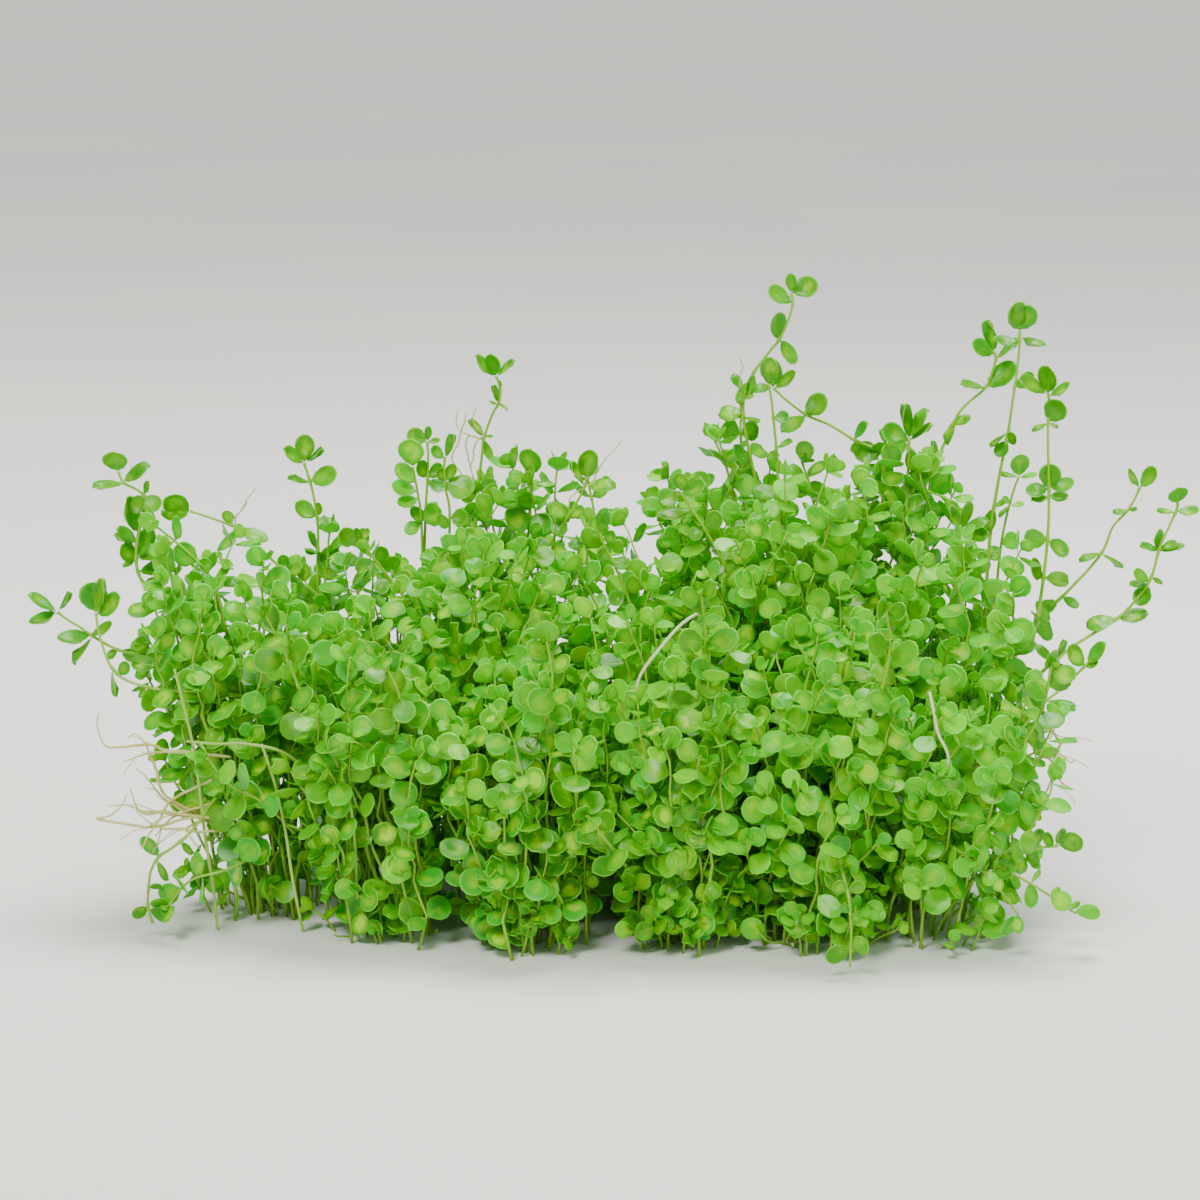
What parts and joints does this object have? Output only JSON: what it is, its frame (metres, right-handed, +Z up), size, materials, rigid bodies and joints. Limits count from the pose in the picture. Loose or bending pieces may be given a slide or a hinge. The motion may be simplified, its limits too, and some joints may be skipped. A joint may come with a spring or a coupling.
{
  "type": "baby tears aquarium plant",
  "caption": "Dense clump of thin fanning stems with small round leaves in opposite pairs, looser leafy shoots reaching out of it, cut off flat at the ground to stand on the cut.",
  "frame": {"origin": "on the ground plane, on the flat cut under the middle of the clump", "axes": "+X along the clump, +Y to its back, +Z up; the pictured side faces -Y"},
  "size_m": [0.255, 0.1314, 0.1388],
  "materials": {
    "close_growth": "living leaf, thin and slightly glossy, mid green",
    "shoots": "living leaf, thin and slightly glossy, light yellow-green",
    "roots": "fine pale water roots, matte"
  },
  "bodies": {
    "root": {"tuft_left_end": "close_growth", "tuft_left_back": "close_growth", "tuft_left_front": "close_growth", "tuft_middle_back": "close_growth", "tuft_middle": "close_growth", "tuft_middle_front": "close_growth", "tuft_dip": "close_growth", "tuft_centre_front": "close_growth", "tuft_right_back": "close_growth", "tuft_right": "close_growth", "tuft_right_front": "close_growth", "tuft_right_rear": "close_growth", "tuft_right_side": "close_growth", "tuft_right_corner": "close_growth", "sprig_left_far": "shoots", "sprig_left_bent": "shoots", "sprig_left_top": "shoots", "sprig_left_arch": "shoots", "sprig_left_skyline": "shoots", "sprig_left_inner": "shoots", "sprig_left_front": "shoots", "sprig_left_low": "shoots", "sprig_left_rear": "shoots", "sprig_middle_a": "shoots", "sprig_middle_b": "shoots", "sprig_rooted": "shoots", "sprig_middle_c": "shoots", "sprig_leaning": "shoots", "sprig_dip": "shoots", "sprig_right_edge": "shoots", "sprig_right_second": "shoots", "sprig_tallest": "shoots", "sprig_right_arch": "shoots", "sprig_right_c": "shoots", "sprig_right_d": "shoots", "sprig_right_e": "shoots", "sprig_right_tall": "shoots", "sprig_right_tall_b": "shoots", "sprig_right_f": "shoots", "sprig_far_right_a": "shoots", "sprig_far_right_b": "shoots", "sprig_far_right_c": "shoots", "sprig_right_low": "shoots", "sprig_right_front": "shoots", "sprig_front_right": "shoots", "sprig_front_centre": "shoots", "sprig_front_middle": "shoots", "sprig_front_left": "shoots", "sprig_front_low": "shoots", "sprig_front_foot": "shoots", "sprig_back_left": "shoots", "sprig_back_middle": "shoots", "sprig_back_right": "shoots", "roots_left": "roots", "roots_right": "roots"}
  },
  "joints": []
}
